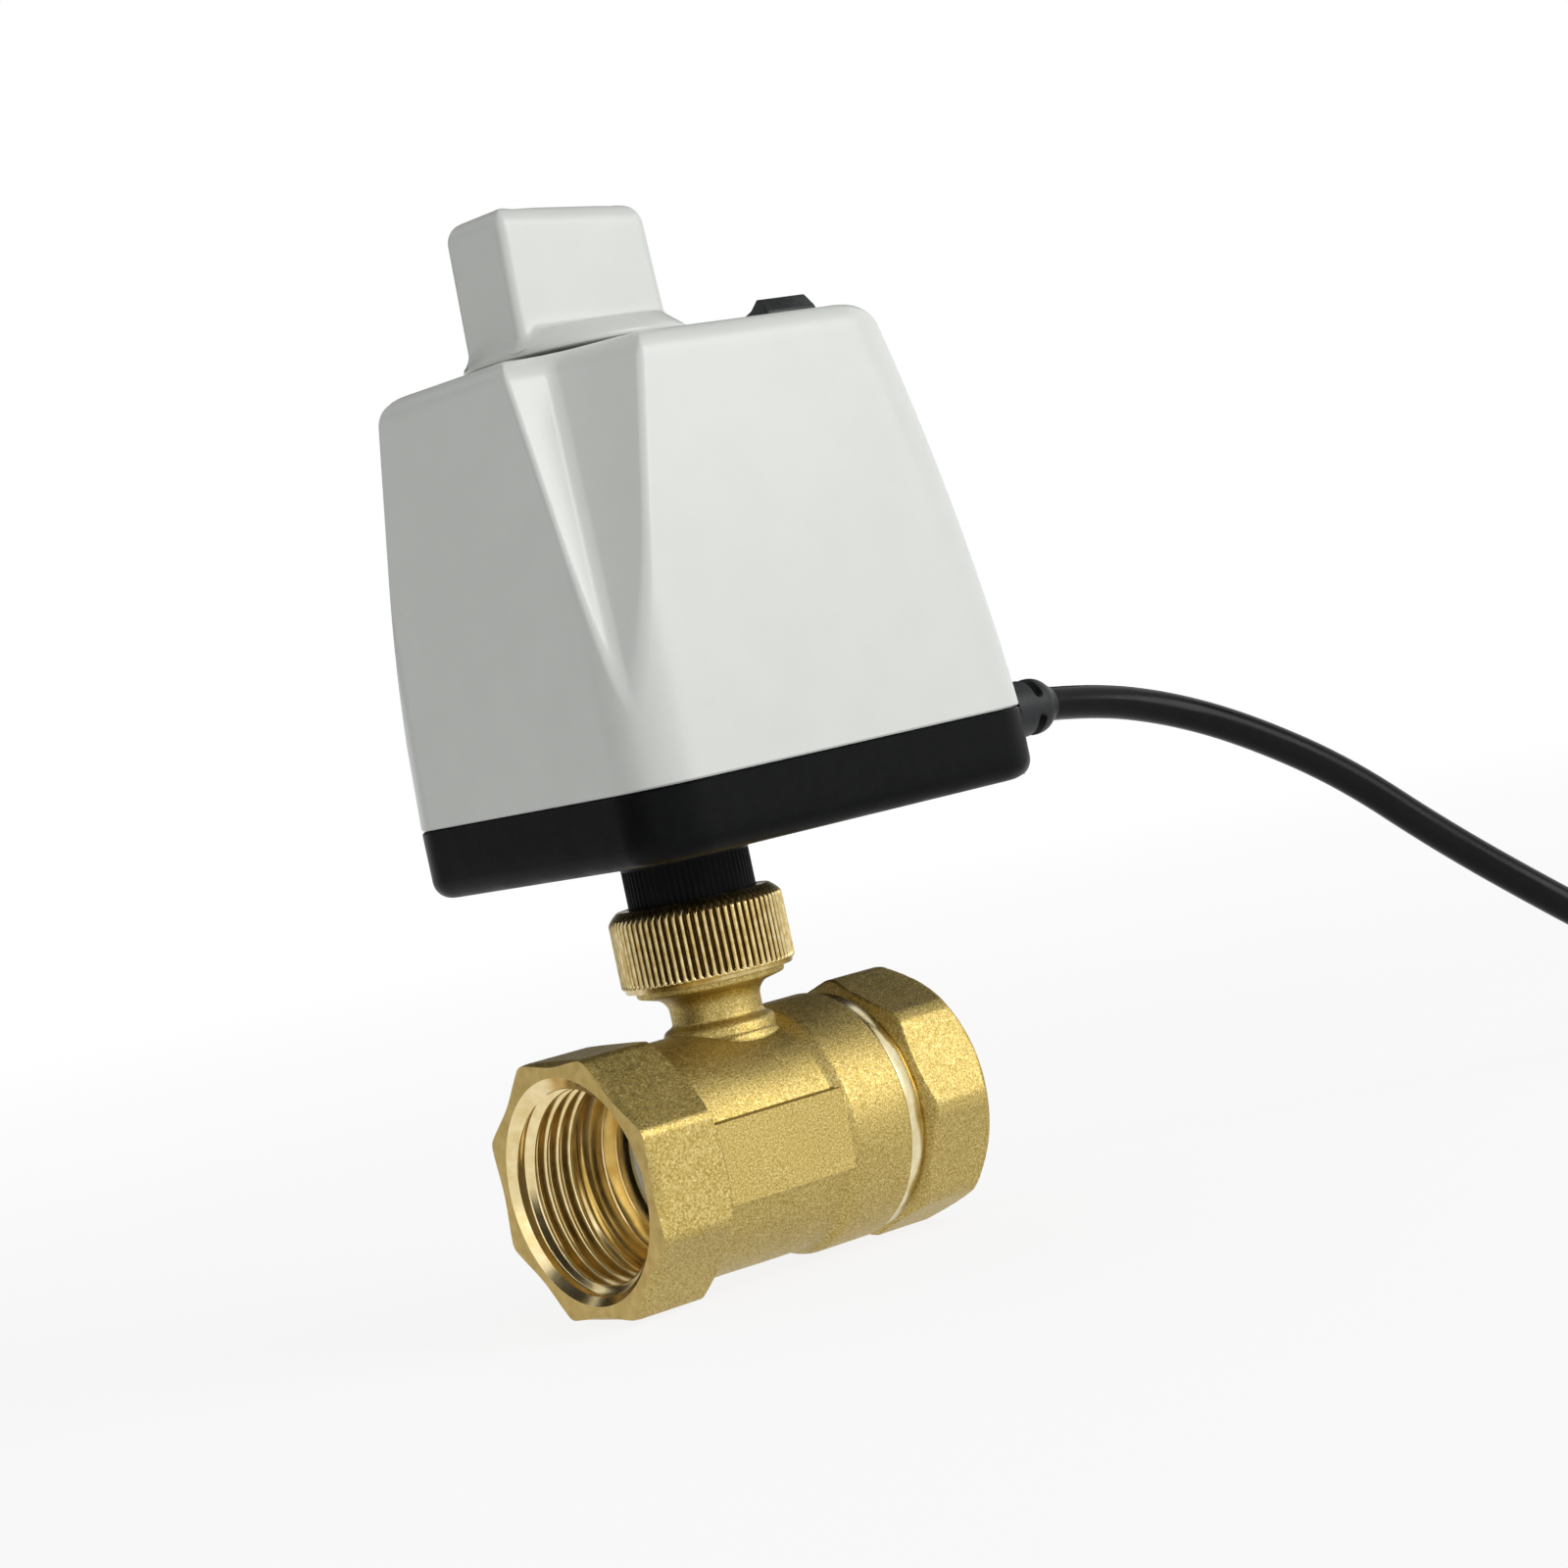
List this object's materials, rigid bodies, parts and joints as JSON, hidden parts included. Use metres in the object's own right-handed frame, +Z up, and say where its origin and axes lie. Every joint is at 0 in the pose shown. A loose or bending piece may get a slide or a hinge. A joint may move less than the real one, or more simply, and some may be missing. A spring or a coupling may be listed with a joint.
{
  "type": "motorized ball valve",
  "caption": "Brass ball valve with threaded pipe ends, joined by a knurled nut to an electric actuator with a manual knob, a rocker switch and a power cord.",
  "frame": {"origin": "bottom centre of the valve and actuator without the cord, on the surface that they stand on", "axes": "+Z up along the stem, +X along the pipe towards the outlet and the cord, -Y towards the labelled side of the body"},
  "size_m": [0.2686, 0.1197, 0.169],
  "materials": {
    "brass": "sand-blasted forged brass",
    "nut_brass": "bright turned and knurled brass",
    "chrome_ball": "chrome-plated and polished",
    "seal": "smooth white fluoropolymer",
    "steel": "plain machined",
    "rubber": "black soft moulding",
    "black_plastic": "black moulded, satin",
    "pale_plastic": "pale grey-white moulded, satin",
    "switch_black": "black, slightly glossy",
    "motor_can": "bright plated can",
    "board": "green solder resist",
    "terminal": "green moulded",
    "gear_plastic": "natural acetal",
    "cord": "black smooth sheath",
    "leads": "insulated cores"
  },
  "bodies": {
    "housing": {"valve_body": "brass", "end_cap": "brass", "seat_inlet": "seal", "seat_outlet": "seal", "stem_washer": "seal", "nut_keeper_ring": "steel", "neck_gasket": "rubber", "neck_bush": "seal", "base_tray": "black_plastic", "cover_shell": "pale_plastic", "shaft_bush": "seal", "idler_axle": "steel", "lower_gear_plate": "steel", "upper_gear_plate": "steel", "plate_pillars": "steel", "motor": "motor_can", "open_switch": "black_plastic", "closed_switch": "black_plastic", "circuit_board": "board", "terminal_block": "terminal", "rocker_bezel": "switch_black", "cover_screws": "steel", "strain_relief": "rubber", "cable_run": "cord", "cable_coil": "cord", "core_leads": "leads"},
    "valve_drive": {"manual_knob": "pale_plastic", "output_shaft": "steel", "output_gear": "gear_plastic", "open_cam": "gear_plastic", "closed_cam": "gear_plastic", "stem": "brass", "stem_o_rings": "rubber", "ball": "chrome_ball"},
    "idler": {"idler_gear": "gear_plastic"},
    "motor_drive": {"motor_pinion": "brass", "motor_shaft": "steel"},
    "nut": {"union_nut": "nut_brass"},
    "rocker": {"rocker_paddle": "switch_black"}
  },
  "joints": [
    {"name": "valve_turn", "type": "hinge", "parent": "housing", "child": "valve_drive", "pos_m": [-0.00855, 0, 0.14], "axis": [0, 0, 1], "range_deg": [-90, 0]},
    {"name": "idler_turn", "type": "hinge", "parent": "housing", "child": "idler", "pos_m": [0.00995, 0.01263, 0.08], "axis": [0, 0, 1], "range_deg": [-1, 331]},
    {"name": "motor_turn", "type": "hinge", "parent": "housing", "child": "motor_drive", "pos_m": [0.01175, -0.0081, 0.085], "axis": [0, 0, 1], "range_deg": [-1101, 1]},
    {"name": "nut_turn", "type": "hinge", "parent": "housing", "child": "nut", "pos_m": [-0.00855, 0, 0.054], "axis": [0, 0, 1], "continuous": true},
    {"name": "rocker_turn", "type": "hinge", "parent": "housing", "child": "rocker", "pos_m": [0.01795, -0.0159, 0.14215], "axis": [1, 0, 0], "range_deg": [0, 20]}
  ],
  "couplings": [
    {"joint": "idler_turn", "follows": "valve_turn", "ratio": -3.6667},
    {"joint": "motor_turn", "follows": "valve_turn", "ratio": 12.222}
  ]
}
